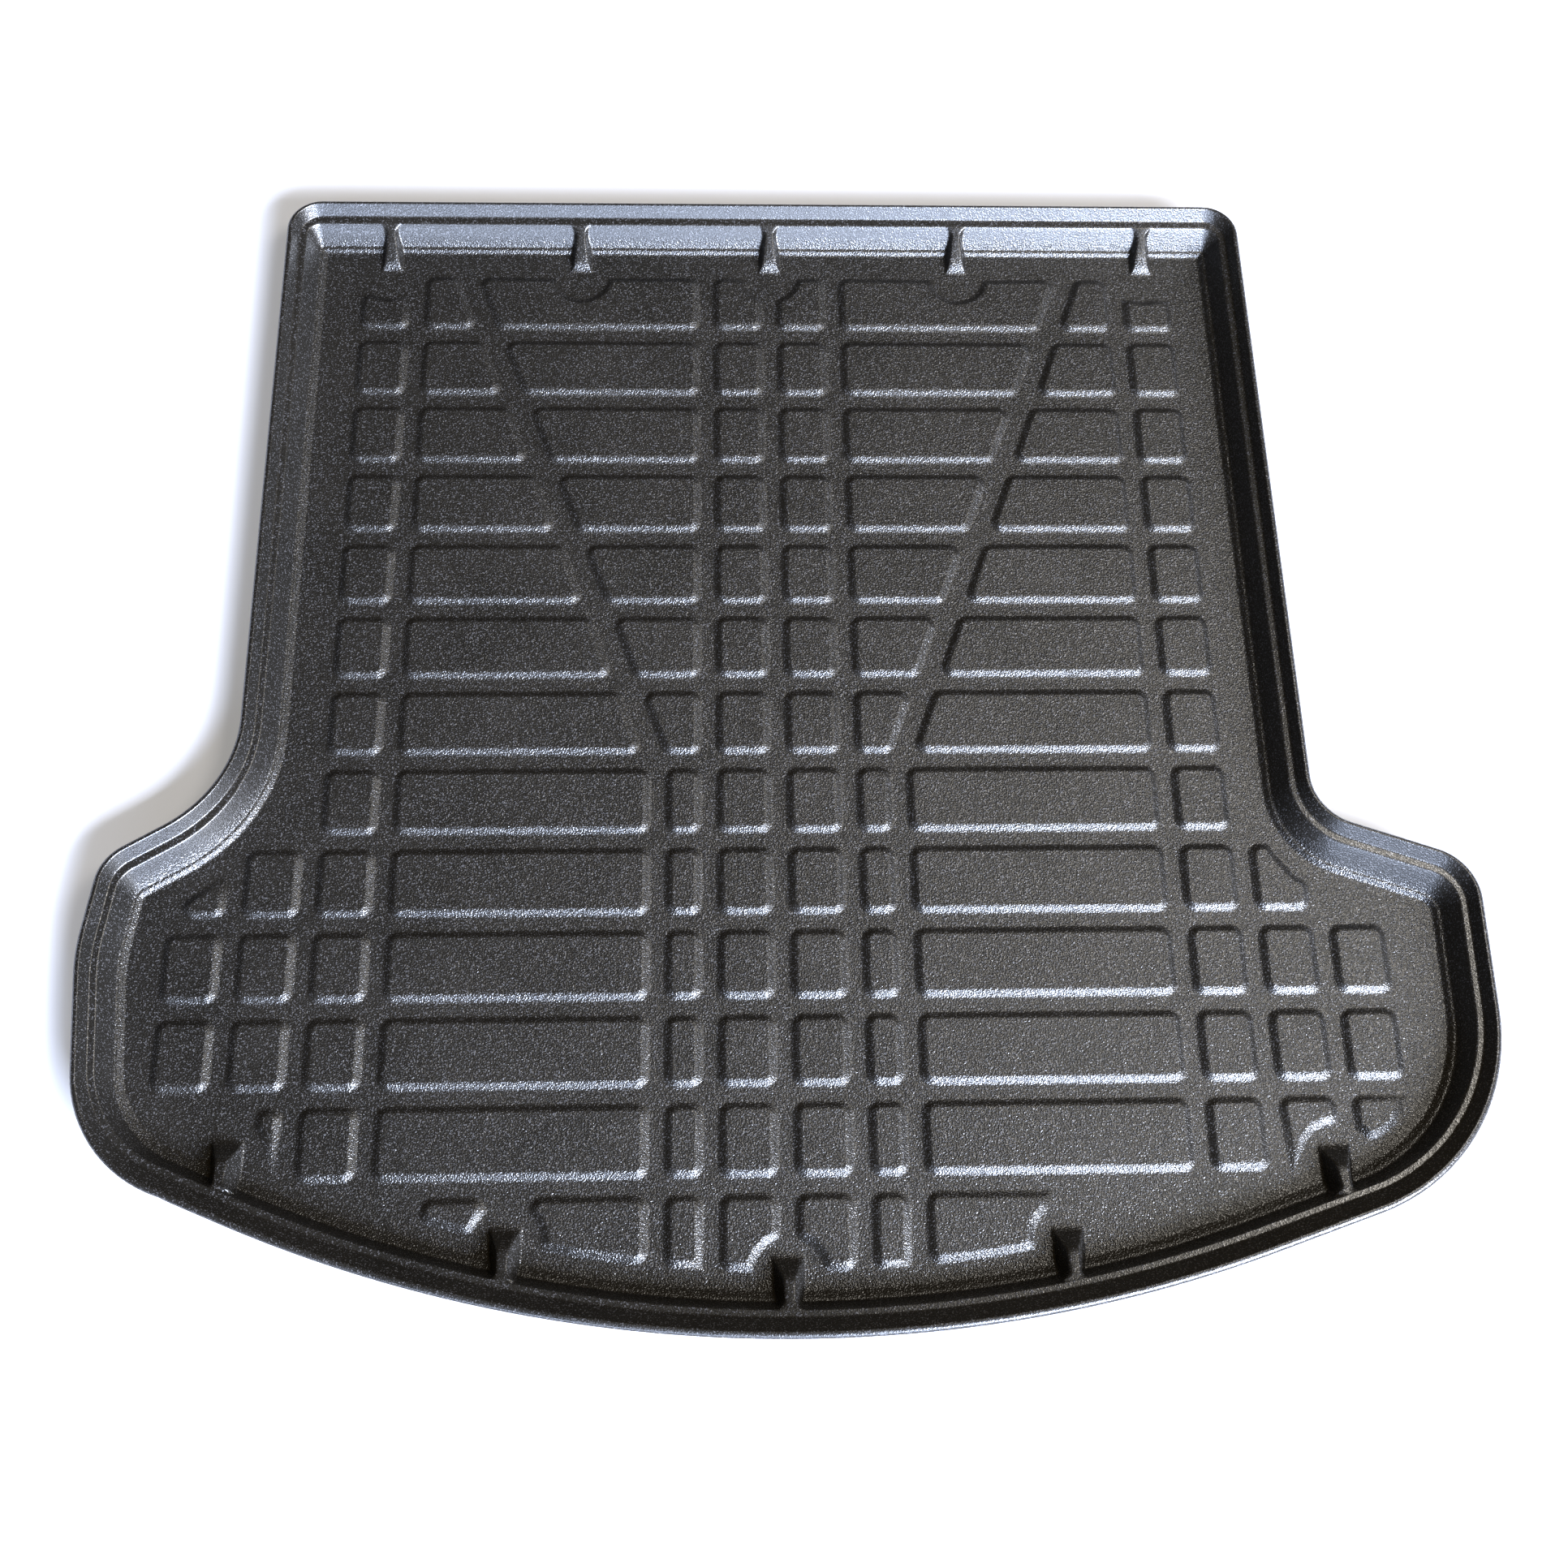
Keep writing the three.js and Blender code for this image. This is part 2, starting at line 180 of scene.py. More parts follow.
nearGusset = {
    "places": [-484.0, -242.0, 0.0, 242.0, 484.0],
    "edge": -1,
    "between": 11,
    "zone": 30.0,
    "crestRun": 27.0,
    "footHeight": 18.0,
    "footRun": 19.0,
    "crestTop": 4.5,
    "crestFoot": 5.2,
    "waist": 1.0,
    "flare": 6.0,
    "flareRun": 9.0,
    "flankTop": 7.5,
    "flankFoot": 8.0,
}

# What the gussets of both edges share
gussetForm = {
    "sink": 0.2,           # from the ledge down to the crest
    "crestBend": 0.9,      # rounding between the crest and its foot
    "edgeBend": 1.4,       # rounding between the crest and the flanks
    "groundBend": 1.6,     # rounding between the flanks and the rim or the floor
    "leastHalf": 1.2,      # columns take the crest for at least this half width
    "crestColumn": 0.55,   # place of a column, as a share of the crest's half width
    "edgeColumns": (-0.8, 0.1, 0.9),  # distances of columns past the crest's edge
    "flankColumn": (0.5, 1.6),        # share of the flank, and least distance past the crest's edge
    "footColumn": (-0.9, 2.3),        # distance past the flank's foot, and least past the crest's edge
    "outerColumns": (1.2, 2.6),       # distances past that column
    "lastColumn": 0.45,    # share of what is left of the zone
    "floorBeyond": 5.0,    # floor between a gusset's foot and the rings that bulge round it
    "bulgeHalf": 14.0,     # half the width at which they bulge fully
}


# Height and half width of a gusset's crest, and the steepness of its flanks, at a run from the ledge
def crestAt(shape, run, depth):
    run = max(run, 0.0)
    ledge = rim["ledgeHeight"] - gussetForm["sink"]
    fall = (ledge - shape["footHeight"]) / shape["crestRun"]
    footFall = shape["footHeight"] / shape["footRun"]
    drop = depth * math.hypot(1, fall)
    footDrop = depth * math.hypot(1, footFall)
    alongCrest = ledge - fall * run - drop
    alongFoot = shape["footHeight"] - footFall * (run - shape["crestRun"]) - footDrop
    height = -smoothMax(-alongCrest, -alongFoot, gussetForm["crestBend"])
    onCrest = min(run / shape["crestRun"], 1.0)
    onFoot = min(max((run - shape["crestRun"]) / shape["footRun"], 0.0), 1.0)
    half = mix(shape["crestTop"], shape["crestFoot"], onCrest ** shape["waist"])
    half += shape["flare"] * max(1 - run / shape["flareRun"], 0.0) ** 2
    half += shape["flankFoot"] * onFoot
    flankWidth = mix(shape["flankTop"], shape["flankFoot"], onCrest)
    steep = mix(ledge, shape["footHeight"], onCrest) / flankWidth
    half -= depth * math.tan(math.atan(steep) / 2)
    return height, half, steep


# Sideways places of the columns over a gusset: crest, rounded edge, flank, foot of the flank
def gussetColumns(shape, run, ground, depth):
    height, half, steep = crestAt(shape, run, depth)
    half = max(half, gussetForm["leastHalf"])
    foot = half + max(height - ground, 0.0) / steep
    flankShare, flankLeast = gussetForm["flankColumn"]
    pastFoot, footLeast = gussetForm["footColumn"]
    side = [half * gussetForm["crestColumn"]]
    side += [half + past for past in gussetForm["edgeColumns"]]
    side.append(max(mix(half, foot, flankShare), half + flankLeast))
    side.append(max(foot + pastFoot, half + footLeast))
    side += [side[-1] + past for past in gussetForm["outerColumns"]]
    side += [mix(side[-1], shape["zone"], gussetForm["lastColumn"]), shape["zone"]]
    return [-across for across in reversed(side)] + [0.0] + side


# Height of the sheet at a place beside a gusset's middle line, where the ground is the rim or the floor
def gussetHeight(shape, across, run, ground, depth):
    if run <= 0:
        return ground
    height, half, steep = crestAt(shape, run, depth)
    flank = height - steep * smoothMax(abs(across) - half, 0.0, gussetForm["edgeBend"])
    return smoothMax(ground, flank, gussetForm["groundBend"])


# Profile of the rim for one kind of side, as points in from the cut edge and up; a depth moves
# it down square to its faces, for the sheet's lower skin
def rimProfile(kind, depth):
    at = [0.0]
    for width in rim[kind]:
        at.append(at[-1] + width)
    lip, ledge, step = rim["lipHeight"], rim["ledgeHeight"], rim["stepHeight"]
    bendRun, bendDrop = rim["lipBend"]
    line = [
        Vector((0, lip - rim["lipDrop"])),
        Vector((bendRun * at[1], lip - bendDrop * rim["lipDrop"])),
        Vector((at[1], lip)),
        Vector((at[2], ledge + rim["ledgeFall"])),
        Vector((at[3], ledge)),
        Vector((at[4], step + rim["ledgeFall"])),
        Vector((at[5], step)),
        Vector((at[6], 0)),
    ]
    if depth == 0:
        return line
    line.append(line[-1] + Vector((1, 0)))
    moved = [line[0] - Vector((0, depth))]
    for i in range(2, len(line) - 1):
        a, b = (line[i] - line[i - 1]).normalized(), (line[i + 1] - line[i]).normalized()
        below = Vector((a.y, -a.x)) + Vector((b.y, -b.x))
        moved.append(line[i] + below * (depth / (1 + a.dot(b))))
    return moved


# The same profile with each bend rounded, and rings across the main wall
def easedProfile(kind, depth):
    line = rimProfile(kind, depth)
    line.append(line[-1] + Vector((rim["floorBeside"], 0)))
    wall = len(line) - 5    # the ledge's inner bend, from which the main wall falls
    reach, share = rim["bendReach"], rim["bendShare"]
    eased = [line[0]]
    for i in range(1, len(line) - 1):
        before, after = line[i - 1] - line[i], line[i + 1] - line[i]
        a = line[i] + before.normalized() * min(reach, before.length * share)
        b = line[i] + after.normalized() * min(reach, after.length * share)
        eased += [a, (a + b) / 4 + line[i] / 2, b]
        if i == wall:
            end = line[i + 1] + (line[i] - line[i + 1]).normalized() * reach
            for k in range(1, rim["wallRings"]):
                eased.append(b.lerp(end, k / rim["wallRings"]))
    return eased


# Places of columns along an arc or a straight, without the last, which starts the next row
def roundRow(arc, columns, start=0.0, end=1.0):
    return [onArc(arc, mix(start, end, k / columns)) for k in range(columns)]


def straightRow(start, end, columns):
    return [start.lerp(end, k / columns) for k in range(columns)]


# One ring of the rim at widths from the cut edge; beyond the step it bulges round the gussets
def rimRing(widths, height, depth, beyond):
    arcs = cornerArcs(widths)
    nearEnd, farEnd = rim["nearEnd"], rim["farEnd"]
    left = []
    for i in (0, 1, 2, 3):
        left += roundRow(arcs[i], corners[i][2])
        left += straightRow(onArc(arcs[i], 1), onArc(arcs[i + 1], 0), corners[i][3])
    left += roundRow(arcs[4], corners[4][2], 0, shareAt(arcs[4], -nearEnd))
    near = edgeRow(nearGusset, arcs, -nearEnd, nearEnd, height, depth, beyond)
    right = roundRow(arcs[6], corners[6][2], shareAt(arcs[6], nearEnd), 1)
    for i in (6, 7, 8):
        right += straightRow(onArc(arcs[i], 1), onArc(arcs[i + 1], 0), corners[i][3])
        right += roundRow(arcs[i + 1], corners[i + 1][2])
    farRight = Vector((farEnd, farLine(arcs)))
    farLeft = Vector((-farEnd, farLine(arcs)))
    right += straightRow(onArc(arcs[9], 1), farRight, rim["farEndColumns"])
    far = edgeRow(farGusset, arcs, farEnd, -farEnd, height, depth, beyond)
    last = straightRow(farLeft, onArc(arcs[0], 0), rim["farEndColumns"])
    left, right, last = ([(p.x, p.y, height) for p in row] for row in (left, right, last))
    return left + near + right + far + last


# The far or near stretch of a ring, with columns that follow the gussets
def edgeRow(shape, arcs, start, end, height, depth, beyond):
    heading = math.copysign(1, end - start)
    between = shape["between"]
    row = []
    for place in sorted(shape["places"], key=lambda x: x * heading):
        zoneStart = place - heading * shape["zone"]
        row += [(mix(start, zoneStart, k / between), None) for k in range(between)]
        ledgeY = crossing(shape, ledgeArcs, place)
        for k in range(len(gussetColumns(shape, 0, 0, depth)) - 1):
            across = 0.0
            # how far in the ring runs depends on the column's place, which settles in three rounds
            for _ in range(3):
                run = (crossing(shape, arcs, place + across) - ledgeY) * -shape["edge"]
                run += bulge(shape, across, beyond)
                across = gussetColumns(shape, run, height, depth)[k] * heading
            row.append((place + across, (place, ledgeY)))
        start = place + heading * shape["zone"]
    row += [(mix(start, end, k / between), None) for k in range(between)]
    points = []
    for x, gusset in row:
        y = crossing(shape, arcs, x)
        z = height
        if gusset:
            place, ledgeY = gusset
            y -= bulge(shape, x - place, beyond) * shape["edge"]
            run = (y - ledgeY) * -shape["edge"]
            z = gussetHeight(shape, x - place, run, height, depth)
        points.append((x, y, z))
    return points


# How much further in than the plain strip a ring runs beside a gusset
def bulge(shape, across, beyond):
    if beyond == 0:
        return 0.0
    reach = shape["crestRun"] + shape["footRun"] + gussetForm["floorBeyond"]
    plain = sum(rim["far" if shape["edge"] > 0 else "near"][3:]) + rim["stripWidth"]
    full = gussetForm["bulgeHalf"]
    share = 1 - smoothStep((abs(across) - full) / (shape["zone"] - full))
    return beyond * (reach - plain) * share


# The ledge's inner edge, from which a gusset's run is measured
sideKinds = ("side", "far", "near")
ledgeArcs = cornerArcs({kind: rimProfile(kind, 0)[4].x for kind in sideKinds})


# All rings of the rim from the cut edge in, and the arcs of the last one
def rimRings(depth):
    profiles = {kind: easedProfile(kind, depth) for kind in sideKinds}
    rings = []
    for i in range(len(profiles["side"])):
        widths = {kind: profile[i].x for kind, profile in profiles.items()}
        rings.append(rimRing(widths, profiles["side"][i].y, depth, 0))
    last = {kind: profile[-1].x for kind, profile in profiles.items()}
    for k in range(1, rim["stripRings"] + 1):
        share = k / rim["stripRings"]
        widths = {kind: width + rim["stripWidth"] * share for kind, width in last.items()}
        rings.append(rimRing(widths, profiles["side"][-1].y, depth, share))
    return rings, cornerArcs(widths)


pads = {
    "height": 4.0,
    "draft": 4.6,          # width of a pad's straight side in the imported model
    "cut": 3.95,           # height above the floor of the cut that gives the outlines
    "longest": 240.0,      # pads are shorter than this, and the rim is longer
    "closest": 0.2,        # points of the cut that are nearer than this are one
    "straight": 0.02,      # sine of a bend that is left out as straight
    "cornerRadius": 5.6,   # at that cut
    "leastBend": 25.0,     # degrees; the outline is left as it is at smaller ones
    "arcStep": 15.0,       # degrees of bend to one side of the rounded corner
    "sideShare": 0.45,     # the most that a rounded corner takes of the sides beside it
    "room": (7.1, -3.8),   # how far the outline can be moved out and in without folding over
    "foldShare": 0.1,      # a side is folded when a move leaves it less than this share
    "offEdge": 0.5,        # least way from a pad's foot to the strip along the near edge
    "slopeRun": 9.4,       # from the foot of a pad to its top, with the soft edges
    "slopeRings": 6,
}


# Outlines of the pads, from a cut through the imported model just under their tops
def padOutlines():
    cut = bmesh.new()
    cut.from_mesh(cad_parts["boot_liner"].data)
    bmesh.ops.remove_doubles(cut, verts=cut.verts, dist=1e-6)
    everything = cut.verts[:] + cut.edges[:] + cut.faces[:]
    level = Vector((0, 0, (rim["sheet"] + pads["cut"]) * millimetre))
    bmesh.ops.bisect_plane(
        cut, geom=everything, plane_co=level, plane_no=(0, 0, 1), clear_inner=True, clear_outer=True
    )
    outlines = []
    seen = set()
    for first in cut.verts:
        if first in seen:
            continue
        loop = []
        following = [first]
        while following:
            vert = following[0]
            seen.add(vert)
            loop.append(Vector(vert.co.xy) / millimetre)
            beside = [edge.other_vert(vert) for edge in vert.link_edges]
            following = [other for other in beside if other not in seen]
        width = max(p.x for p in loop) - min(p.x for p in loop)
        if width < pads["longest"]:
            outline = roundedPad(tidied(loop))
            for move in pads["room"]:
                outline = withoutFolds(outline, move)
            outlines.append(outline)
    cut.free()
    return outlines


# A counterclockwise outline without the points that lie along its straight sides
def tidied(loop):
    area = sum(loop[i - 1].cross(loop[i]) for i in range(len(loop)))
    if area < 0:
        loop.reverse()
    spaced = [p for i, p in enumerate(loop) if (p - loop[i - 1]).length > pads["closest"]]
    bent = []
    for i, p in enumerate(spaced):
        before = (p - spaced[i - 1]).normalized()
        after = (spaced[(i + 1) % len(spaced)] - p).normalized()
        if abs(before.cross(after)) > pads["straight"]:
            bent.append(p)
    return bent


# Each bend of the outline rounded by an arc, as far as the sides beside it allow
def roundedPad(loop):
    points = []
    for i, p in enumerate(loop):
        before = loop[i - 1] - p
        after = loop[(i + 1) % len(loop)] - p
        turned = math.pi - before.angle(after)
        if math.degrees(turned) < pads["leastBend"]:
            points.append(p)
            continue
        reach = pads["cornerRadius"] * math.tan(turned / 2)
        reach = min(reach, pads["sideShare"] * before.length, pads["sideShare"] * after.length)
        a = p + before.normalized() * reach
        b = p + after.normalized() * reach
        steps = max(1, round(math.degrees(turned) / pads["arcStep"]))
        for k in range(steps + 1):
            share = k / steps
            points.append(a.lerp(p, share).lerp(p.lerp(b, share), share))
    return points


# An outline moved outwards by a width, each point square to the outline there
def spreadOutline(points, width):
    moved = []
    for i, p in enumerate(points):
        a = (p - points[i - 1]).normalized()
        b = (points[(i + 1) % len(points)] - p).normalized()
        out = Vector((a.y + b.y, -a.x - b.x))
        moved.append(p + out * (width / (1 + a.dot(b))))
    return moved


# The outline with its shortest sides merged until it can move by a width without folding over
def withoutFolds(points, width):
    while True:
        moved = spreadOutline(points, width)
        folded = []
        for i, p in enumerate(points):
            side = p - points[i - 1]
            if side.dot(moved[i] - moved[i - 1]) < pads["foldShare"] * side.length_squared:
                folded.append((side.length, i))
        if not folded:
            return points
        i = min(folded)[1]
        middle = (points[i] + points[i - 1]) / 2
        points = [middle if k == i else p for k, p in enumerate(points) if k != (i - 1) % len(points)]


# The foot of a pad, kept off the rim where a pointed pad comes near the near edge
def offNearEdge(points, arcs):
    kept = []
    for p in points:
        if abs(p.x) < rim["nearEnd"]:
            p = Vector((p.x, max(p.y, nearCrossing(arcs, p.x) + pads["offEdge"])))
        kept.append(p)
    return kept


# A closed loop of new edges through points
def edgeLoop(bm, points):
    verts = [bm.verts.new(p) for p in points]
    return [bm.edges.new((verts[i - 1], verts[i])) for i in range(len(verts))]


# The ring of new vertices that an extrusion gave, in the order of the old ring
def grownRing(ring, grown):
    fresh = {v for v in grown["geom"] if isinstance(v, bmesh.types.BMVert)}
    return [next(e.other_vert(v) for e in v.link_edges if e.other_vert(v) in fresh) for v in ring]


# The rim, extruded ring by ring from the cut edge in; gives its first and its last edges
def formRim(bm, rings):
    ring = [bm.verts.new(p) for p in rings[0]]
    cutEdge = [bm.edges.new((ring[i - 1], ring[i])) for i in range(len(ring))]
    edges = cutEdge
    for points in rings[1:]:
        grown = bmesh.ops.extrude_edge_only(bm, edges=edges)
        ring = grownRing(ring, grown)
        for vert, point in zip(ring, points):
            vert.co = point
        inner = set(ring)
        edges = [e for e in grown["geom"] if isinstance(e, bmesh.types.BMEdge)]
        edges = [e for e in edges if inner.issuperset(e.verts)]
    return cutEdge, edges


# How far a pad's foot lies outside its outline: the straight side, half of what the soft edges
# add, and on the lower skin less, by what moving it down square to that side takes
def footSpread(depth):
    steep = math.atan2(pads["height"], pads["draft"])
    spread = pads["draft"] * pads["cut"] / pads["height"]
    spread += (pads["slopeRun"] - pads["draft"]) / 2 - depth * math.tan(steep / 2)
    return spread


# Pads raised in soft slopes from the places that their feet leave in the floor
def raisePads(bm, feet):
    tops = [bm.faces.new([edge.verts[0] for edge in foot]) for foot in feet]
    for top in tops:
        top.normal_update()
        if top.normal.z < 0:
            top.normal_flip()
    steps = pads["slopeRings"]
    climb = [pads["height"] * smoothStep(k / steps) for k in range(steps + 1)]
    for low, high in zip(climb, climb[1:]):
        bmesh.ops.inset_individual(
            bm, faces=tops, thickness=pads["slopeRun"] / steps, depth=high - low, use_even_offset=True
        )


# One skin of the sheet: the rim, the flat floor inside it, and the pads; gives its cut edge
def formSkin(bm, depth, outlines):
    rings, innerArcs = rimRings(depth)
    cutEdge, innerEdge = formRim(bm, rings)
    floor = rings[-1][0][2]
    feet = []
    for outline in outlines:
        foot = offNearEdge(spreadOutline(outline, footSpread(depth)), innerArcs)
        feet.append(edgeLoop(bm, [(p.x, p.y, floor) for p in foot]))
    bounds = innerEdge + [edge for foot in feet for edge in foot]
    bmesh.ops.triangle_fill(bm, use_beauty=True, edges=bounds, normal=(0, 0, 1))
    raisePads(bm, feet)
    return cutEdge


# Both skins, joined round the cut edge, as one closed sheet
def makeLiner():
    bm = bmesh.new()
    centre = Vector(rim["centre"])
    outlines = [[p + centre for p in outline] for outline in padOutlines()]
    print("pads", len(outlines))
    upper = formSkin(bm, 0.0, outlines)
    lower = formSkin(bm, rim["sheet"], outlines)
    bmesh.ops.bridge_loops(bm, edges=upper + lower)
    bmesh.ops.recalc_face_normals(bm, faces=bm.faces)
    place = Matrix.Translation((-centre.x, -centre.y, rim["sheet"]))
    bm.transform(Matrix.Scale(millimetre, 4) @ place)
    for face in bm.faces:
        face.smooth = True
    mesh = bpy.data.meshes.new("liner_sheet")
    bm.to_mesh(mesh)
    bm.free()
    piece = bpy.data.objects.new("liner_sheet", mesh)
    bpy.context.scene.collection.objects.link(piece)
    weighted = piece.modifiers.new("even shading", "WEIGHTED_NORMAL")
    weighted.weight = 80
    return piece


# Turns an sRGB hex colour into the linear values that shaders take
def linearColour(hexColour):
    channels = [int(hexColour[i:i + 2], 16) / 255 for i in (1, 3, 5)]
    linear = [c / 12.92 if c <= 0.04045 else ((c + 0.055) / 1.055) ** 2.4 for c in channels]
    return (*linear, 1.0)


# Adds a node with its settings, links and input values; a link is (node, output name), and the
# name of an input value has underscores for spaces
def addNode(tree, kind, settings=None, links=None, **values):
    node = tree.nodes.new(kind)
    for name, value in (settings or {}).items():
        setattr(node, name, value)
    for name, value in values.items():
        node.inputs[name.replace("_", " ")].default_value = value
    for name, (source, output) in (links or {}).items():
        tree.links.new(source.outputs[output], node.inputs[name])
    return node


# Black polyethylene sheet, vacuum formed over a grained tool: satin, with a fine pebbled grain
# that breaks reflections into sparkle on the faces that look at the light, and painted glints: the
# grain's highest tops are painted paler in the base colour. The rim, where the sheet was drawn over the
# frame, is smoother.
sheetPlastic = {
    "colour": "#100f0d",
    "paler": "#181613",
    "paintedGlint": "#4d4c4d",              # painted glints: the highest tops of the grain painted paler, for the light they catch
    "paintedGlintLevels": (0.58, 0.70),     # heights in the grain at which the painted glints start and are full
    "patch": 111.1,                  # across one faint patch, paler and duller than the next
    "patchLevels": (0.35, 0.75),     # where in the pattern the patches start and are full
    "roughness": 0.42,
    "sheen": (-0.05, 0.07),          # how the roughness differs between patches
    "polished": 0.10,                # roughness on the tops of the grain
    "polishLevels": (0.35, 0.70),
    "specular": 0.75,
    "grain": 1.5,                    # across one pebble; the real ones are about 1, too fine to show
    "grainDepth": 0.85,
    "rimGrain": 0.35,                # share of that depth on the rim
    "rimFoot": (9.0, 18.0),          # heights between which the grain fades to that
}


def makeSheetPlastic():
    material = bpy.data.materials.new("grained black polyethylene")
    material.use_nodes = True
    tree = material.node_tree
    tree.nodes.clear()
    place = addNode(tree, "ShaderNodeTexCoord")
    at = {"Vector": (place, "Object")}
    pebbles = 1 / (sheetPlastic["grain"] * millimetre)
    grain = addNode(tree, "ShaderNodeTexNoise", None, at, Scale=pebbles, Detail=1.0, Roughness=0.5)
    height = addNode(tree, "ShaderNodeSeparateXYZ", None, at)
    foot, full = sheetPlastic["rimFoot"]
    drawn = addNode(
        tree, "ShaderNodeMapRange", None, {"Value": (height, "Z")},
        From_Min=foot * millimetre, From_Max=full * millimetre,
        To_Min=1.0, To_Max=sheetPlastic["rimGrain"],
    )
    bump = addNode(
        tree, "ShaderNodeBump", None, {"Height": (grain, "Fac"), "Strength": (drawn, "Result")},
        Distance=sheetPlastic["grainDepth"] * millimetre,
    )
    patching = 1 / (sheetPlastic["patch"] * millimetre)
    patches = addNode(tree, "ShaderNodeTexNoise", None, at, Scale=patching, Detail=4.0, Roughness=0.6)
    tone = addNode(tree, "ShaderNodeValToRGB", None, {"Fac": (patches, "Fac")})
    stops = tone.color_ramp.elements
    for stop, level, name in zip(stops, sheetPlastic["patchLevels"], ("colour", "paler")):
        stop.position = level
        stop.color = linearColour(sheetPlastic[name])
    # Painted glints: the grain's highest tops get a paler grey in the base colour, standing in for
    # their sparkle in the light
    first, full = sheetPlastic["paintedGlintLevels"]
    glintMask = addNode(
        tree, "ShaderNodeMapRange", None, {"Value": (grain, "Fac")}, From_Min=first, From_Max=full
    )
    withPaintedGlints = addNode(
        tree, "ShaderNodeMix", {"data_type": "RGBA"}, {0: (glintMask, "Result"), 6: (tone, "Color")}
    )
    withPaintedGlints.inputs[7].default_value = linearColour(sheetPlastic["paintedGlint"])
    glossier, duller = sheetPlastic["sheen"]
    sheen = addNode(
        tree, "ShaderNodeMapRange", None, {"Value": (patches, "Fac")},
        To_Min=sheetPlastic["roughness"] + glossier, To_Max=sheetPlastic["roughness"] + duller,
    )
    low, high = sheetPlastic["polishLevels"]
    polish = addNode(
        tree, "ShaderNodeMapRange", None, {"Value": (grain, "Fac"), "To Min": (sheen, "Result")},
        From_Min=low, From_Max=high, To_Max=sheetPlastic["polished"],
    )
    shader = addNode(
        tree, "ShaderNodeBsdfPrincipled", None,
        {"Base Color": (withPaintedGlints, 2), "Roughness": (polish, "Result"), "Normal": (bump, "Normal")},
        IOR=1.5, Specular_IOR_Level=sheetPlastic["specular"],
    )
    addNode(tree, "ShaderNodeOutputMaterial", None, {"Surface": (shader, "BSDF")})
    return material


# Matt white studio floor, which the camera sees a little brighter than it is
studioFloor = {
    "colour": "#c4c4c8",
    "lift": 0.3,           # what it glows with for the camera, where 1 is white
    "half": 5.5,           # metres from its middle to its edges
}


def makeFloorPaint():
    material = bpy.data.materials.new("matt white floor paint")
    material.use_nodes = True
    tree = material.node_tree
    tree.nodes.clear()
    white, black = (1, 1, 1, 1), (0, 0, 0, 1)
    paint = addNode(tree, "ShaderNodeBsdfDiffuse", Color=linearColour(studioFloor["colour"]))
    glow = addNode(tree, "ShaderNodeEmission", Color=white, Strength=studioFloor["lift"])
    none = addNode(tree, "ShaderNodeEmission", Color=black, Strength=0.0)
    path = addNode(tree, "ShaderNodeLightPath")
    seen = addNode(tree, "ShaderNodeMixShader", None, {"Fac": (path, "Is Camera Ray")})
    tree.links.new(none.outputs[0], seen.inputs[1])
    tree.links.new(glow.outputs[0], seen.inputs[2])
    total = addNode(tree, "ShaderNodeAddShader")
    tree.links.new(paint.outputs[0], total.inputs[0])
    tree.links.new(seen.outputs[0], total.inputs[1])
    addNode(tree, "ShaderNodeOutputMaterial", None, {"Surface": (total, "Shader")})
    return material


def makeFloor():
    bm = bmesh.new()
    bmesh.ops.create_grid(bm, x_segments=1, y_segments=1, size=studioFloor["half"])
    mesh = bpy.data.meshes.new("studio_floor")
    bm.to_mesh(mesh)
    bm.free()
    floor = bpy.data.objects.new("studio_floor", mesh)
    bpy.context.scene.collection.objects.link(floor)
    mesh.materials.append(makeFloorPaint())
    return floor


# Windows on the tailgate's side, whose light shows on the slopes that face them, and a soft lamp
# above. Each has its power in watts, width and height in metres, heading clockwise from +Y and
# rise above the floor in degrees, distance in metres, and colour.
lamps = {
    "window": (2500.0, 2.94, 2.7, 152.0, 30.0, 8.0, "#d6e4ff"),
    "second window": (1900.0, 2.94, 2.7, 132.0, 30.0, 8.0, "#eef3ff"),
    "low window": (600.0, 6.1, 2.7, 184.0, 12.0, 8.0, "#d0e0ff"),
    "overhead": (44.0, 1.2, 1.1, 70.0, 57.0, 3.2, "#fff8ec"),
}


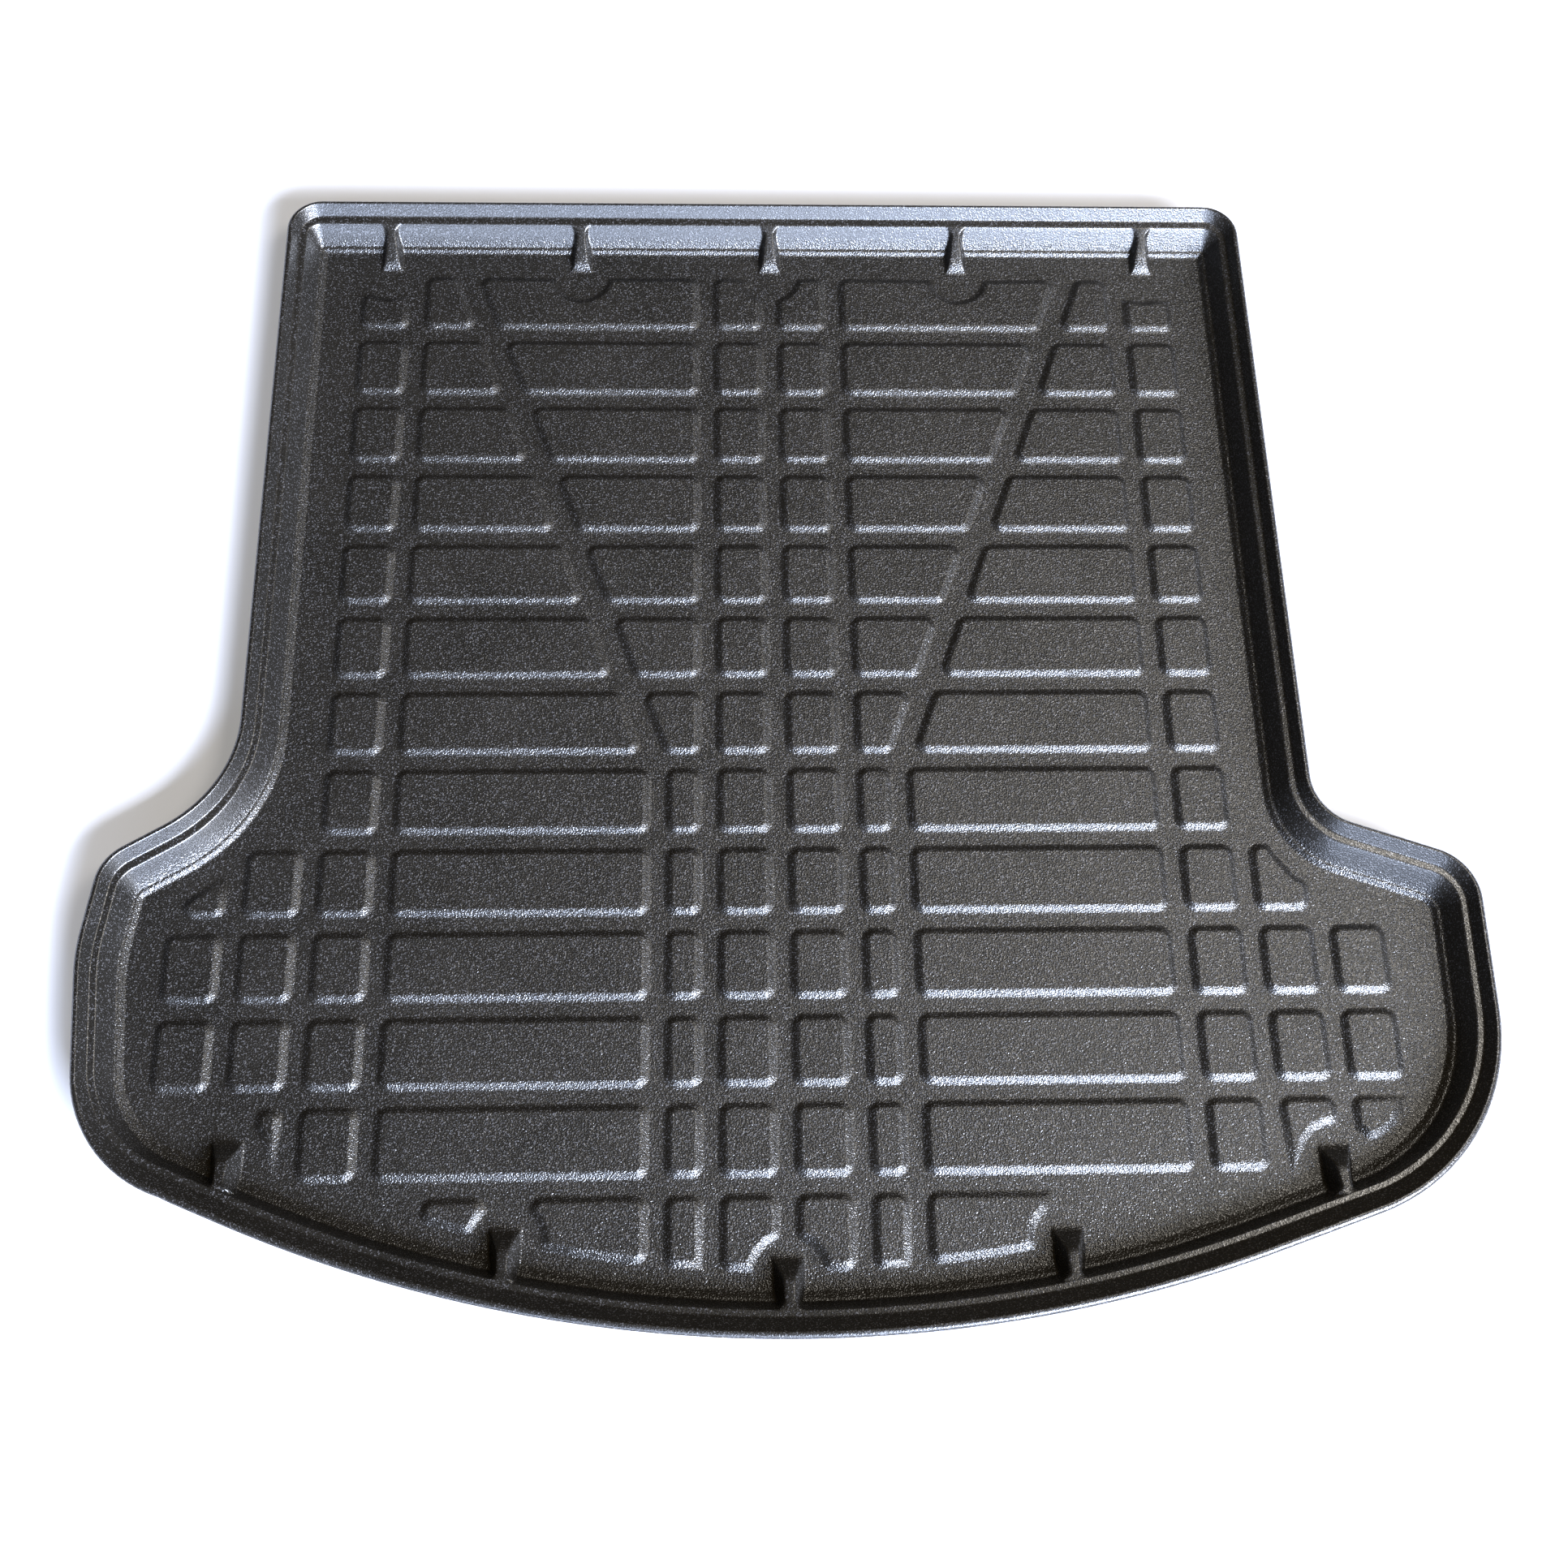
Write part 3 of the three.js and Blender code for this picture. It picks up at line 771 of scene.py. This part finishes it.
def makeLamps():
    for name, (power, width, height, heading, rise, distance, colour) in lamps.items():
        data = bpy.data.lights.new(name, "AREA")
        data.shape = "RECTANGLE"
        data.size = width
        data.size_y = height
        data.energy = power
        data.color = linearColour(colour)[:3]
        lamp = bpy.data.objects.new(name, data)
        a, e = math.radians(heading), math.radians(rise)
        back = Vector((math.sin(a) * math.cos(e), math.cos(a) * math.cos(e), math.sin(e)))
        lamp.location = back * distance
        lamp.rotation_euler = back.to_track_quat("Z", "Y").to_euler()
        bpy.context.scene.collection.objects.link(lamp)


# A warm dim room, which the camera sees as white
room = {
    "colour": "#ffdca0",
    "strength": 0.08,
}


def makeWorld():
    world = bpy.data.worlds.new("studio")
    world.use_nodes = True
    tree = world.node_tree
    tree.nodes.clear()
    path = addNode(tree, "ShaderNodeLightPath")
    walls = addNode(
        tree, "ShaderNodeBackground", Color=linearColour(room["colour"]), Strength=room["strength"]
    )
    white = addNode(tree, "ShaderNodeBackground", Color=(1, 1, 1, 1), Strength=1.0)
    seen = addNode(tree, "ShaderNodeMixShader", None, {"Fac": (path, "Is Camera Ray")})
    tree.links.new(walls.outputs[0], seen.inputs[1])
    tree.links.new(white.outputs[0], seen.inputs[2])
    addNode(tree, "ShaderNodeOutputWorld", None, {"Surface": (seen, "Shader")})
    bpy.context.scene.world = world


camera = {
    "place": (-74.9, -745.0, 1661.4),
    "heading": 6.03,      # degrees clockwise from +Y
    "down": 67.70,        # degrees below the horizon
    "roll": 5.27,
    "lens": 43.65,
    "sensor": 36.0,
    "clip": (0.05, 60.0),  # metres
}


def makeCamera():
    data = bpy.data.cameras.new("camera")
    data.sensor_width = camera["sensor"]
    data.lens = camera["lens"]
    data.clip_start, data.clip_end = camera["clip"]
    eye = bpy.data.objects.new("camera", data)
    turned = Matrix.Rotation(-math.radians(camera["heading"]), 4, "Z")
    tilted = Matrix.Rotation(math.radians(90 - camera["down"]), 4, "X")
    rolled = Matrix.Rotation(math.radians(camera["roll"]), 4, "Z")
    placed = Matrix.Translation(Vector(camera["place"]) * millimetre)
    eye.matrix_world = placed @ turned @ tilted @ rolled
    bpy.context.scene.collection.objects.link(eye)
    bpy.context.scene.camera = eye


bpy.context.scene.view_settings.view_transform = "Standard"
makeCamera()
print("camera made")

liner = makeLiner()
liner.data.materials.append(makeSheetPlastic())
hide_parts("boot_liner")
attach(liner, "root")
print("liner made", len(liner.data.polygons), "faces")

floor = makeFloor()
makeLamps()
makeWorld()
print("studio made")
